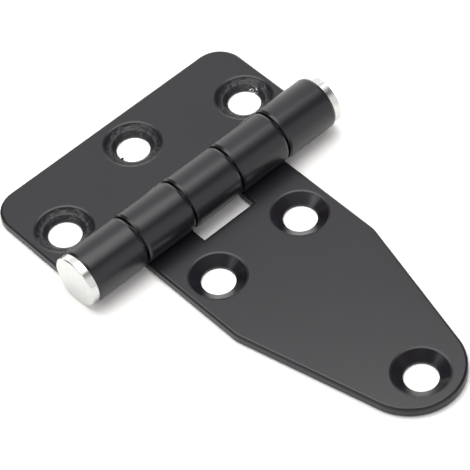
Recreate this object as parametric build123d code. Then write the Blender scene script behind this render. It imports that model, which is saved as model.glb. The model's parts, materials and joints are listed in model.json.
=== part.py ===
from build123d import *
import math
import os

# Tee hinge in millimetres, Z up. The origin is on the mounting plane, under the middle of the pin.
# X runs along the pin. The rectangular frame leaf points to +Y, the tapered strap leaf to -Y.

# Sheet and pin
sheet = 2.0
pin_diameter = 6.8
pin_clearance = 0.05
head_diameter = 10.4
head_thickness = 1.6
head_chamfer = 0.15

# Barrel
knuckle_gap = 0.55
notch_clearance = 1.85
seam_gap = 0.1

# Frame leaf
leaf_length = 60.0
frame_reach = 27.9
frame_corner_radius = 5.6
frame_pair_spacing = 46.2
frame_pair_reach = 13.5
frame_middle_reach = 20.2

# Strap leaf
strap_width = 35.2
strap_reach = 65.4
shoulder_reach = 28.1
shoulder_radius = 5.0
tip_radius = 10.5
strap_pair_spacing = 20.9
strap_pair_reach = 15.6
tip_hole_offset = 2.9

# Screw holes
hole_diameter = 6.6
strap_countersink_diameter = 11.1
frame_countersink_diameter = 11.4
countersink_depth = 1.5

# Ledge in the frame leaf's countersinks, as shares of the cone's width and height, and its tilts in degrees
ledge_start_out_share = 0.36
ledge_start_up_share = 0.47
ledge_flat_share = 0.21
ledge_tilts = [12, 28]

# Edges, as shares of the sheet
top_round_share = 0.3
rim_round_share = 0.3
lower_break_share = 0.125
knuckle_bevel_width_share = 0.24
knuckle_bevel_depth_share = 0.1

# Derived sizes
bore_radius = pin_diameter / 2 + pin_clearance
barrel_radius = bore_radius + sheet
notch_depth = barrel_radius + notch_clearance
knuckle_pitch = (strap_width + knuckle_gap) / 3
inner_boundary = knuckle_pitch / 2
outer_boundary = 3 * knuckle_pitch / 2
half_gap = knuckle_gap / 2
half_leaf = leaf_length / 2
half_strap = strap_width / 2
tip_centre = strap_reach - tip_radius
top_round = top_round_share * sheet
rim_round = rim_round_share * sheet
lower_break = lower_break_share * sheet
knuckle_bevel_width = knuckle_bevel_width_share * sheet
knuckle_bevel_depth = knuckle_bevel_depth_share * sheet
hole_radius = hole_diameter / 2
strap_mouth = strap_countersink_diameter / 2
frame_mouth = frame_countersink_diameter / 2
lap_angle = math.degrees(math.asin(1 - (sheet + seam_gap) / barrel_radius))
roll_angle = 270 + lap_angle

# Knuckles as pairs of X limits
frame_knuckles = [
    (-half_leaf, -outer_boundary - half_gap),
    (-inner_boundary + half_gap, inner_boundary - half_gap),
    (outer_boundary + half_gap, half_leaf),
]
strap_knuckles = [
    (-half_strap, -inner_boundary - half_gap),
    (inner_boundary + half_gap, half_strap),
]

# Hole centres on each leaf
frame_holes = [
    (-frame_pair_spacing / 2, frame_pair_reach),
    (frame_pair_spacing / 2, frame_pair_reach),
    (0, frame_middle_reach),
]
strap_holes = [
    (-strap_pair_spacing / 2, -strap_pair_reach),
    (strap_pair_spacing / 2, -strap_pair_reach),
    (0, -tip_centre - tip_hole_offset),
]


def notch(left, right, side):
    """Plan of one rectangular notch that opens at the pin, on the given Y side."""
    width = right - left
    centre = Pos((left + right) / 2, side * notch_depth / 2)
    return centre * Rectangle(width, notch_depth)


def frame_outline():
    """Plan of the rectangular leaf with a notch for each strap knuckle."""
    plan = Pos(0, frame_reach / 2) * Rectangle(leaf_length, frame_reach)
    far_corners = plan.vertices().group_by(Axis.Y)[-1]
    plan = fillet(far_corners, frame_corner_radius)
    for left, right in strap_knuckles:
        plan -= notch(left - knuckle_gap, right + knuckle_gap, 1)
    return plan


def strap_outline():
    """Plan of the strap: parallel sides, straight taper, round tip, one notch for the middle knuckle."""
    run = tip_centre - shoulder_reach
    taper = math.atan2(half_strap, run) - math.asin(tip_radius / math.hypot(half_strap, run))
    touch_x = tip_radius * math.cos(taper)
    touch_y = -tip_centre - tip_radius * math.sin(taper)
    left_side = Polyline((0, 0), (-half_strap, 0), (-half_strap, -shoulder_reach), (-touch_x, touch_y))
    tip = ThreePointArc((-touch_x, touch_y), (0, -strap_reach), (touch_x, touch_y))
    right_side = Polyline((touch_x, touch_y), (half_strap, -shoulder_reach), (half_strap, 0), (0, 0))
    plan = make_face(Curve() + [left_side, tip, right_side])
    shoulders = [v for v in plan.vertices() if abs(v.Y + shoulder_reach) < 1e-4]
    plan = fillet(shoulders, shoulder_radius)
    left, right = frame_knuckles[1]
    plan -= notch(left - knuckle_gap, right + knuckle_gap, -1)
    return plan


def rim(flat, height):
    """Edges of a flat at one height, except where it runs on into the knuckles."""
    level = flat.edges().filter_by_position(Axis.Z, height - 1e-4, height + 1e-4)
    return [edge for edge in level if abs(edge.center().Y) > 1e-4]


def plate(outline):
    """Flat of a leaf, with its top edge rounded and its lower edge broken."""
    flat = extrude(outline, sheet)
    flat = fillet(rim(flat, sheet), top_round)
    return chamfer(rim(flat, 0), lower_break)


def knuckle(left, right, turn):
    """One rolled eye with bevelled ends, from the flat right round to just above the leaf's top face."""
    start = Plane(origin=(0, 0, 0), x_dir=(1, 0, 0), z_dir=(0, -1, 0))
    section = Polyline(
        (left, sheet),
        (left, knuckle_bevel_depth),
        (left + knuckle_bevel_width, 0),
        (right - knuckle_bevel_width, 0),
        (right, knuckle_bevel_depth),
        (right, sheet),
        close=True,
    )
    pin_axis = Axis((0, 0, barrel_radius), (turn, 0, 0))
    return revolve(start * make_face(section), pin_axis, roll_angle)


def cone_wall(mouth, ledge):
    """Section of a countersink's wall below the cone under its rim, broken by a ledge if it has one."""
    wall = [(hole_radius, sheet - countersink_depth)]
    if ledge:
        width = mouth - hole_radius
        radius = hole_radius + ledge_start_out_share * width
        height = sheet - (1 - ledge_start_up_share) * countersink_depth
        wall.append((radius, height))
        for tilt in ledge_tilts:
            radius += ledge_flat_share * width * math.cos(math.radians(tilt))
            height += ledge_flat_share * width * math.sin(math.radians(tilt))
            wall.append((radius, height))
    return wall


def eased_rim(mouth, below):
    """Ends of the flat that eases the sharp rim, where a round would meet the cone and the top face."""
    slope = math.atan2(sheet - below[1], mouth - below[0])
    reach = rim_round * math.tan(slope / 2)
    inner = (mouth - reach * math.cos(slope), sheet - reach * math.sin(slope))
    outer = (mouth + reach, sheet)
    return [inner, outer]


def screw_hole(x, y, mouth, ledge):
    """Cutter for one countersunk hole, its mouth given as a radius."""
    margin = 1.0
    wall = cone_wall(mouth, ledge)
    edge = eased_rim(mouth, wall[-1])
    below = [(0, -margin), (hole_radius, -margin)]
    above = [(edge[-1][0], sheet + margin), (0, sheet + margin)]
    profile = make_face(Polyline(below + wall + edge + above, close=True))
    return Pos(x, y, 0) * revolve(Plane.XZ * profile, Axis.Z)


def pierced(flat, holes, mouth, ledge):
    """A flat with its screw holes."""
    for x, y in holes:
        flat -= screw_hole(x, y, mouth, ledge)
    return flat


def leaf(flat, knuckles, turn):
    """One leaf: a single sheet with its pierced flat and its rolled knuckles."""
    body = flat
    for left, right in knuckles:
        body += knuckle(left, right, turn)
    return body


def hinge_pin():
    """Pin with a flat chamfered head at each end, seated against the outer knuckles."""
    across = Rotation(0, 90, 0)
    shaft = across * Cylinder(pin_diameter / 2, leaf_length)
    for side in (-1, 1):
        head = across * Cylinder(head_diameter / 2, head_thickness)
        outer_rim = head.edges().filter_by(GeomType.CIRCLE).sort_by(Axis.X)
        outer_rim = outer_rim[-1] if side > 0 else outer_rim[0]
        head = chamfer(outer_rim, head_chamfer)
        shaft += Pos(side * (half_leaf + head_thickness / 2), 0, 0) * head
    return Pos(0, 0, barrel_radius) * shaft


frame_flat = pierced(plate(frame_outline()), frame_holes, frame_mouth, True)
strap_flat = pierced(plate(strap_outline()), strap_holes, strap_mouth, False)
nodes = {
    "frame_leaf": leaf(frame_flat, frame_knuckles, -1),
    "strap_leaf": leaf(strap_flat, strap_knuckles, 1),
    "hinge_pin": hinge_pin(),
}

os.makedirs("parts", exist_ok=True)
for name, shape in nodes.items():
    shape.label = name
    export_step(shape, "parts/" + name + ".step")
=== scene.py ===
import json
import math

import bpy
from mathutils import Matrix, Vector


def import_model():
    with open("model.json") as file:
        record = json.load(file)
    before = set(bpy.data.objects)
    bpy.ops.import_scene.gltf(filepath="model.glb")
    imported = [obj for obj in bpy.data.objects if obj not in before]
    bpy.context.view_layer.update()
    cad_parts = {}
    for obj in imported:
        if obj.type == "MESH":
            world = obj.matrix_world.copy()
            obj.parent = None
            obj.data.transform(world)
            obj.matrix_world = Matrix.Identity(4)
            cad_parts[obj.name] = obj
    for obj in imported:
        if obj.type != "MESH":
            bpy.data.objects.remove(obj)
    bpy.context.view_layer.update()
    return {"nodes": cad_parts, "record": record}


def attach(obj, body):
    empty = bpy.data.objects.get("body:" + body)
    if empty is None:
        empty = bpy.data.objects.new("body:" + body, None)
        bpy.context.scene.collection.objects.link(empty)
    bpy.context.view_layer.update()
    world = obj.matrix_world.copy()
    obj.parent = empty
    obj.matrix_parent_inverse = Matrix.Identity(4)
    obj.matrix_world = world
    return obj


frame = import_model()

# Lengths are in metres unless a name says otherwise
MM_PER_M = 1000

# Camera, in the photograph's square frame
FRAME_PIXELS = 470
FOCAL_PIXELS = 2681.7
SENSOR_MM = 36.0
AZIMUTH = math.radians(-38.016)
ELEVATION = math.radians(50.414)
ROLL = math.radians(-6.172)
DISTANCE = 0.50294
TARGET = Vector((-0.00067, -0.00943, 0.0))
CLIP_START = 0.01

# Edges that turn more than this stay crisp: the frame leaf's countersinks are soft, the strap's are not
SMOOTH_ANGLES = {
    "frame_leaf": math.radians(50),
    "strap_leaf": math.radians(16),
    "hinge_pin": math.radians(50),
}

# The stretch of a noise that carries colour and roughness, and its middle
NOISE_LOW = 0.3
NOISE_HIGH = 0.7
NOISE_MIDDLE = 0.5

# Black coat: clouds of colour, and a fine skin in its roughness and height
CLOUD_SCALE = 90.0
CLOUD_DETAIL = 3.0
CLOUD_COLOURS = [(0.0092, 0.0078, 0.0105), (0.0113, 0.0097, 0.0130)]
SKIN_SCALE = 2600.0
SKIN_DETAIL = 2.0
SKIN_ROUGHNESS = [0.275, 0.295]
SKIN_WEIGHT = 3.0
FINE_HEIGHT = 0.000005
FINE_STRENGTH = 0.3

# Countersinks: how far they reach in plan, the height they start at, their turning marks and their gloss
CONE_REACH = 0.0054
CONE_EDGE = 0.0003
CONE_FOOT = 0.0002
TURNING_PITCH = 0.0003
FRAME_CONE_ROUGHNESS = 0.42
STRAP_CONE_ROUGHNESS = 0.18

# Uneven coat in the frame leaf's countersinks
LUMP_SCALE = 800.0
LUMP_DETAIL = 1.0
LUMP_HEIGHT = 0.0003

# Curls of bare metal at the bore of one countersink, along the middle of a noise
CHIP_PLACE = (0.02634, 0.01437, 0.00045)
CHIP_REACH = 0.0012
CHIP_CORE_SHARE = 0.6
CHIP_SCALE = 1500.0
CHIP_DETAIL = 1.0
CHIP_LINE_CORE = 0.02
CHIP_LINE_EDGE = 0.06
CHIP_COLOUR = (0.62, 0.63, 0.61, 1)
CHIP_ROUGHNESS = 0.22

# Burr of coat on the bore's edge in the frame leaf's middle hole
BURR_PLACE = (-0.00311, 0.01984, 0.0005)
BURR_RADIUS = 0.0003
BURR_STRETCH = (1.0, 0.8, 0.7)
BURR_SUBDIVISIONS = 3

# Bright steel
STEEL_SCALE = 700.0
STEEL_DETAIL = 3.0
STEEL_COLOURS = [(0.66, 0.672, 0.652), (0.72, 0.732, 0.712)]
STEEL_ROUGHNESS = [0.18, 0.26]

# Floor, just under the object: its colour as it lights the object, and how much paler it shows itself
FLOOR_SIZE = 6.0
FLOOR_DROP = 0.00002
FLOOR_COLOUR = (0.93, 0.915, 0.905, 1)
FLOOR_LIFT = (0.32, 0.315, 0.311, 1)
MIRRORED_SHARE = 0.6
GLOW_LEVEL = 0.8
GLOW_START = 0.1
GLOW_END = 0.7

# Surround: levels, where 1 is white, and the elevations and headings that they fade over
WALL_LEVEL = 1.0
WALL_FADE_START = math.radians(28)
WALL_FADE_END = math.radians(54)
WALL_SIDE_START = -0.35
WALL_SIDE_END = 0.1
SLIT_LEVEL = 0.12
CEILING_LEVEL = 0.55
CEILING_FADE_START = math.radians(57)
CEILING_FADE_END = math.radians(66)

# Soft lights: place along the camera's heading, size, tilt and brightness
FACING_DOWN = 0.0
FACING_CAMERA = math.radians(-90)
LIGHTS = {
    "top_light": {
        "across": -0.0475, "ahead": 0.03, "height": 0.25,
        "width": 0.285, "depth": 0.17, "tilt": FACING_DOWN, "radiance": 3.1,
    },
    "top_halo": {
        "across": -0.0475, "ahead": 0.0175, "height": 0.25,
        "width": 0.385, "depth": 0.215, "tilt": FACING_DOWN, "radiance": 1.1,
    },
    "back_light": {
        "across": 0.0, "ahead": 0.8, "height": 0.995,
        "width": 0.7, "depth": 1.11, "tilt": FACING_CAMERA, "radiance": 1.08,
    },
    "horizon_light": {
        "across": 0.0, "ahead": 0.8, "height": 0.22,
        "width": 1.0, "depth": 0.44, "tilt": FACING_CAMERA, "radiance": 1.38,
    },
}


def screw_holes(leaf):
    """Plan centres of a leaf's screw holes, from the mounts in the record."""
    centres = []
    for mount in frame["record"]["mounts"]:
        if not mount["name"].startswith(leaf):
            continue
        x, y, _ = mount["pos_m"]
        if mount["kind"] == "bore":
            centres.append((x, y))
        if mount["kind"] == "bolt_pattern":
            half_spacing = mount["dims"]["spacing_x_mm"] / MM_PER_M / 2
            centres += [(x - half_spacing, y), (x + half_spacing, y)]
    return centres


def add_node(tree, kind, **sockets):
    """Add a shader node and set its input sockets by name."""
    node = tree.nodes.new(kind)
    for name, value in sockets.items():
        node.inputs[name.replace("_", " ")].default_value = value
    return node


def new_material(name):
    """A node material with a Principled shader wired to its output."""
    material = bpy.data.materials.new(name)
    material.use_nodes = True
    tree = material.node_tree
    tree.nodes.clear()
    shader = tree.nodes.new("ShaderNodeBsdfPrincipled")
    output = tree.nodes.new("ShaderNodeOutputMaterial")
    tree.links.new(shader.outputs["BSDF"], output.inputs["Surface"])
    return material, tree, shader


def place(tree):
    """The object's own coordinates."""
    return tree.nodes.new("ShaderNodeTexCoord").outputs["Object"]


def noise(tree, scale, detail):
    """Noise over the object's own coordinates."""
    texture = add_node(tree, "ShaderNodeTexNoise", Scale=scale, Detail=detail)
    tree.links.new(place(tree), texture.inputs["Vector"])
    return texture.outputs["Fac"]


def ramp(tree, factor, low, high):
    """Colours from low to high along a noise."""
    node = tree.nodes.new("ShaderNodeValToRGB")
    stops = node.color_ramp.elements
    stops[0].position = NOISE_LOW
    stops[0].color = (*low, 1)
    stops[1].position = NOISE_HIGH
    stops[1].color = (*high, 1)
    tree.links.new(factor, node.inputs["Fac"])
    return node.outputs["Color"]


def spread(tree, value, start, end, low, high, easing="SMOOTHSTEP"):
    """A number that goes from low to high as a value goes from start to end."""
    node = add_node(tree, "ShaderNodeMapRange", From_Min=start, From_Max=end, To_Min=low, To_Max=high)
    node.interpolation_type = easing
    tree.links.new(value, node.inputs["Value"])
    return node.outputs["Result"]


def span(tree, factor, low, high):
    """A number from low to high along a noise."""
    return spread(tree, factor, NOISE_LOW, NOISE_HIGH, low, high, "LINEAR")


def math_node(tree, operation, first, second=0.0):
    """One arithmetic step on sockets or numbers."""
    node = tree.nodes.new("ShaderNodeMath")
    node.operation = operation
    for slot, value in enumerate((first, second)):
        if isinstance(value, (int, float)):
            node.inputs[slot].default_value = value
        else:
            tree.links.new(value, node.inputs[slot])
    return node.outputs[0]


def vector_node(tree, operation, vector, other=None):
    """One step on a vector socket, with a constant vector where the step takes two."""
    node = tree.nodes.new("ShaderNodeVectorMath")
    node.operation = operation
    tree.links.new(vector, node.inputs[0])
    if other is not None:
        node.inputs[1].default_value = other
    return node


def bump(tree, height, distance, strength, normal=None):
    """A bump from a height, over another bump if one is given."""
    node = add_node(tree, "ShaderNodeBump", Distance=distance, Strength=strength)
    tree.links.new(height, node.inputs["Height"])
    if normal is not None:
        tree.links.new(normal, node.inputs["Normal"])
    return node.outputs["Normal"]


def hole_distance(tree, holes):
    """Distance in plan from the nearest screw hole's centre."""
    plan = vector_node(tree, "MULTIPLY", place(tree), (1, 1, 0)).outputs["Vector"]
    reaches = [vector_node(tree, "DISTANCE", plan, (x, y, 0)).outputs["Value"] for x, y in holes]
    nearest = reaches[0]
    for reach in reaches[1:]:
        nearest = math_node(tree, "MINIMUM", reach, nearest)
    return nearest


def cone_mask(tree, distance):
    """1 in the countersinks and 0 elsewhere, also on the underside round their bores."""
    parts = tree.nodes.new("ShaderNodeSeparateXYZ")
    tree.links.new(place(tree), parts.inputs[0])
    above = spread(tree, parts.outputs["Z"], CONE_FOOT, 2 * CONE_FOOT, 0.0, 1.0)
    inside = spread(tree, distance, CONE_REACH - CONE_EDGE, CONE_REACH, 1.0, 0.0)
    return math_node(tree, "MULTIPLY", above, inside)


def coat_lumps(tree, cone):
    """Bump of an uneven coat in the countersinks."""
    lumps = math_node(tree, "SUBTRACT", noise(tree, LUMP_SCALE, LUMP_DETAIL), NOISE_MIDDLE)
    return bump(tree, math_node(tree, "MULTIPLY", lumps, cone), LUMP_HEIGHT, 1.0)


def bare_curls(tree):
    """Mask of thin curls of bare metal about one place."""
    reach = vector_node(tree, "DISTANCE", place(tree), CHIP_PLACE).outputs["Value"]
    near = spread(tree, reach, CHIP_CORE_SHARE * CHIP_REACH, CHIP_REACH, 1.0, 0.0)
    curl = math_node(tree, "SUBTRACT", noise(tree, CHIP_SCALE, CHIP_DETAIL), NOISE_MIDDLE)
    line = spread(tree, math_node(tree, "ABSOLUTE", curl), CHIP_LINE_CORE, CHIP_LINE_EDGE, 1.0, 0.0)
    return math_node(tree, "MULTIPLY", near, line)


def chip(tree, shader, mask):
    """Bare metal where a mask is 1, over the colour and roughness that the coat has."""
    colour = tree.nodes.new("ShaderNodeMix")
    colour.data_type = "RGBA"
    colour.inputs["B"].default_value = CHIP_COLOUR
    rough = tree.nodes.new("ShaderNodeMix")
    rough.inputs["B"].default_value = CHIP_ROUGHNESS
    for mix, socket in ((colour, shader.inputs["Base Color"]), (rough, shader.inputs["Roughness"])):
        tree.links.new(mask, mix.inputs["Factor"])
        tree.links.new(socket.links[0].from_socket, mix.inputs["A"])
        tree.links.new(mix.outputs["Result"], socket)
    tree.links.new(mask, shader.inputs["Metallic"])


def black_coat(name, leaf, cone_roughness, uneven):
    """Satin black coat: cloudy colour, fine skin, turned countersinks, uneven and chipped if asked."""
    material, tree, shader = new_material(name)
    clouds = noise(tree, CLOUD_SCALE, CLOUD_DETAIL)
    tree.links.new(ramp(tree, clouds, *CLOUD_COLOURS), shader.inputs["Base Color"])
    distance = hole_distance(tree, screw_holes(leaf))
    cone = cone_mask(tree, distance)
    pebbles = noise(tree, SKIN_SCALE, SKIN_DETAIL)
    skin = span(tree, pebbles, *SKIN_ROUGHNESS)
    change = math_node(tree, "SUBTRACT", cone_roughness, skin)
    change = math_node(tree, "MULTIPLY", change, cone)
    tree.links.new(math_node(tree, "ADD", skin, change), shader.inputs["Roughness"])
    turned = math_node(tree, "SINE", math_node(tree, "MULTIPLY", distance, 2 * math.pi / TURNING_PITCH))
    turned = math_node(tree, "MULTIPLY", turned, cone)
    height = math_node(tree, "ADD", math_node(tree, "MULTIPLY", pebbles, SKIN_WEIGHT), turned)
    lumps = coat_lumps(tree, cone) if uneven else None
    tree.links.new(bump(tree, height, FINE_HEIGHT, FINE_STRENGTH, lumps), shader.inputs["Normal"])
    if uneven:
        chip(tree, shader, bare_curls(tree))
    return material


def bright_steel():
    """Bright turned steel with a fine grain."""
    material, tree, shader = new_material("bright_steel")
    grain = noise(tree, STEEL_SCALE, STEEL_DETAIL)
    tree.links.new(ramp(tree, grain, *STEEL_COLOURS), shader.inputs["Base Color"])
    shader.inputs["Metallic"].default_value = 1.0
    tree.links.new(span(tree, grain, *STEEL_ROUGHNESS), shader.inputs["Roughness"])
    return material


def finish_nodes(finishes):
    """Give each CAD node its material and smooth shading that keeps real edges."""
    for name, piece in frame["nodes"].items():
        piece.data.materials.clear()
        piece.data.materials.append(finishes[name])
        piece.data.shade_smooth()
        piece.data.set_sharp_from_angle(angle=SMOOTH_ANGLES[name])
        weigh = piece.modifiers.new("weighted_normals", "WEIGHTED_NORMAL")
        weigh.keep_sharp = True


def coat_burr(material):
    """Small lump of coat on the edge of the frame leaf's middle hole."""
    bpy.ops.mesh.primitive_ico_sphere_add(
        subdivisions=BURR_SUBDIVISIONS, radius=BURR_RADIUS, location=BURR_PLACE
    )
    burr = bpy.context.object
    burr.name = "coat_burr"
    burr.scale = BURR_STRETCH
    burr.data.materials.append(material)
    burr.data.shade_smooth()
    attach(burr, "frame_side")


def add_shaders(tree, shaders):
    """The sum of several shaders."""
    total = shaders[0]
    for shader in shaders[1:]:
        both = tree.nodes.new("ShaderNodeAddShader")
        tree.links.new(total, both.inputs[0])
        tree.links.new(shader, both.inputs[1])
        total = both.outputs[0]
    return total


def floor_white():
    """White that shows itself paler than it lights, and glows far from the object."""
    material = bpy.data.materials.new("floor_white")
    material.use_nodes = True
    tree = material.node_tree
    tree.nodes.clear()
    path = tree.nodes.new("ShaderNodeLightPath").outputs
    mirrored = math_node(tree, "MAXIMUM", path["Is Glossy Ray"], path["Is Transmission Ray"])
    mirrored = math_node(tree, "MULTIPLY", mirrored, MIRRORED_SHARE)
    shown = math_node(tree, "MAXIMUM", path["Is Camera Ray"], mirrored)
    diffuse = add_node(tree, "ShaderNodeBsdfDiffuse", Color=FLOOR_COLOUR)
    lift_colour = tree.nodes.new("ShaderNodeMix")
    lift_colour.data_type = "RGBA"
    lift_colour.inputs["A"].default_value = (0, 0, 0, 1)
    lift_colour.inputs["B"].default_value = FLOOR_LIFT
    tree.links.new(shown, lift_colour.inputs["Factor"])
    lift = tree.nodes.new("ShaderNodeBsdfDiffuse")
    tree.links.new(lift_colour.outputs["Result"], lift.inputs["Color"])
    reach = vector_node(tree, "LENGTH", place(tree)).outputs["Value"]
    far = spread(tree, reach, GLOW_START, GLOW_END, 0.0, GLOW_LEVEL)
    glow = add_node(tree, "ShaderNodeEmission", Color=(1, 1, 1, 1))
    tree.links.new(math_node(tree, "MULTIPLY", shown, far), glow.inputs["Strength"])
    total = add_shaders(tree, [diffuse.outputs[0], lift.outputs[0], glow.outputs[0]])
    output = tree.nodes.new("ShaderNodeOutputMaterial")
    tree.links.new(total, output.inputs["Surface"])
    return material


def floor():
    """Floor that keeps the object's shadow."""
    bpy.ops.mesh.primitive_plane_add(size=FLOOR_SIZE, location=(0, 0, -FLOOR_DROP))
    plane = bpy.context.object
    plane.name = "floor"
    plane.data.materials.append(floor_white())


def softbox(name, across, ahead, height, width, depth, tilt, radiance):
    """A rectangular soft light of an even brightness, set out along the camera's heading."""
    right = Vector((math.cos(AZIMUTH), math.sin(AZIMUTH), 0))
    forward = Vector((-math.sin(AZIMUTH), math.cos(AZIMUTH), 0))
    light = bpy.data.lights.new(name, "AREA")
    light.shape = "RECTANGLE"
    light.size = width
    light.size_y = depth
    light.energy = radiance * math.pi * width * depth
    lamp = bpy.data.objects.new(name, light)
    lamp.location = right * across + forward * ahead + Vector((0, 0, height))
    lamp.rotation_euler = (tilt, 0, AZIMUTH)
    lamp.visible_camera = False
    bpy.context.collection.objects.link(lamp)


def world():
    """Studio surround: a pale low wall on the camera's side, dim elsewhere, white to the camera itself."""
    surround = bpy.data.worlds.new("surround")
    surround.use_nodes = True
    tree = surround.node_tree
    background = tree.nodes["Background"]
    background.inputs["Color"].default_value = (1, 1, 1, 1)
    direction = tree.nodes.new("ShaderNodeTexCoord").outputs["Generated"]
    parts = tree.nodes.new("ShaderNodeSeparateXYZ")
    tree.links.new(direction, parts.inputs[0])
    rise = parts.outputs["Z"]
    forward = (-math.sin(AZIMUTH), math.cos(AZIMUTH), 0)
    heading = vector_node(tree, "DOT_PRODUCT", direction, forward).outputs["Value"]
    low = spread(tree, rise, math.sin(WALL_FADE_START), math.sin(WALL_FADE_END), 1.0, 0.0)
    front = spread(tree, heading, WALL_SIDE_START, WALL_SIDE_END, 1.0, 0.0)
    wall = math_node(tree, "MULTIPLY", math_node(tree, "MULTIPLY", low, front), WALL_LEVEL - SLIT_LEVEL)
    fade = [math.sin(CEILING_FADE_START), math.sin(CEILING_FADE_END)]
    ceiling = spread(tree, rise, *fade, SLIT_LEVEL, CEILING_LEVEL)
    level = math_node(tree, "ADD", wall, ceiling)
    path = tree.nodes.new("ShaderNodeLightPath").outputs
    level = math_node(tree, "MAXIMUM", level, path["Is Camera Ray"])
    tree.links.new(level, background.inputs["Strength"])
    bpy.context.scene.world = surround


def camera():
    """Camera at the photograph's viewing angle."""
    back = Vector((
        math.sin(AZIMUTH) * math.cos(ELEVATION),
        -math.cos(AZIMUTH) * math.cos(ELEVATION),
        math.sin(ELEVATION),
    ))
    right = (-back).cross(Vector((0, 0, 1))).normalized()
    up = right.cross(-back)
    across = right * math.cos(ROLL) + up * math.sin(ROLL)
    upward = up * math.cos(ROLL) - right * math.sin(ROLL)
    data = bpy.data.cameras.new("camera")
    data.sensor_fit = "HORIZONTAL"
    data.sensor_width = SENSOR_MM
    data.lens = FOCAL_PIXELS / FRAME_PIXELS * SENSOR_MM
    data.clip_start = CLIP_START
    view = bpy.data.objects.new("camera", data)
    axes = Matrix((across, upward, back)).transposed().to_4x4()
    view.matrix_world = Matrix.Translation(TARGET + back * DISTANCE) @ axes
    bpy.context.collection.objects.link(view)
    bpy.context.scene.camera = view


frame_coat = black_coat("black_coat_frame", "frame", FRAME_CONE_ROUGHNESS, True)
strap_coat = black_coat("black_coat_strap", "strap", STRAP_CONE_ROUGHNESS, False)
finish_nodes({"frame_leaf": frame_coat, "strap_leaf": strap_coat, "hinge_pin": bright_steel()})
coat_burr(frame_coat)
floor()
for name, light in LIGHTS.items():
    softbox(name, **light)
world()
camera()
bpy.context.scene.view_settings.view_transform = "Standard"
